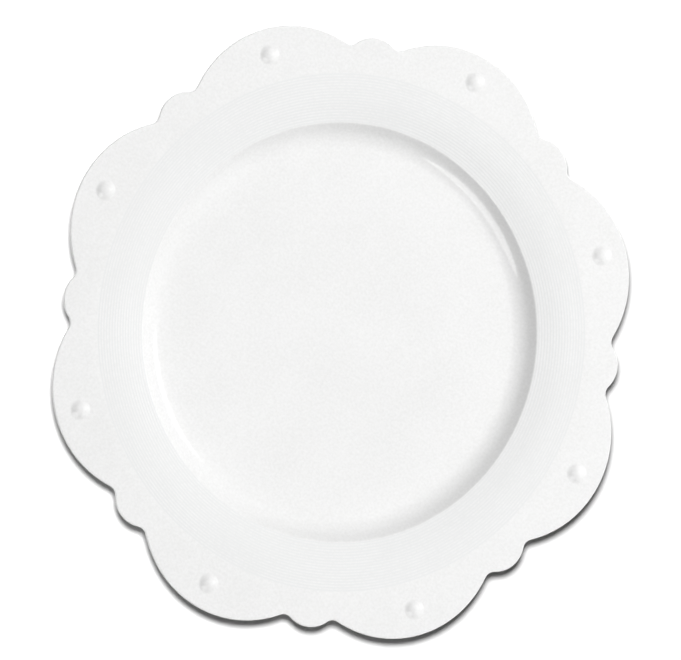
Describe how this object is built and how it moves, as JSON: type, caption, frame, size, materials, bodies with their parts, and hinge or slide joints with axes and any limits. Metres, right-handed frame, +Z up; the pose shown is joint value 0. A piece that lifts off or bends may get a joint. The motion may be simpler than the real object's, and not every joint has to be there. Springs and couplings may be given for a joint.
{
  "type": "plate",
  "caption": "Shallow round porcelain serving plate with a wide scalloped rim, a raised bead on each large lobe, a flat well and a foot ring.",
  "frame": {"origin": "centre of the plane that the foot ring stands on", "axes": "+Z up out of the well, +X through the tip of a large lobe and its bead"},
  "size_m": [0.305, 0.305, 0.0182],
  "materials": {
    "glazed_porcelain": "white porcelain under a clear gloss glaze, with the standing edge of the foot ring left bare"
  },
  "bodies": {
    "root": {"plate_body": "glazed_porcelain", "bead_1": "glazed_porcelain", "bead_2": "glazed_porcelain", "bead_3": "glazed_porcelain", "bead_4": "glazed_porcelain", "bead_5": "glazed_porcelain", "bead_6": "glazed_porcelain", "bead_7": "glazed_porcelain", "bead_8": "glazed_porcelain"}
  },
  "joints": []
}
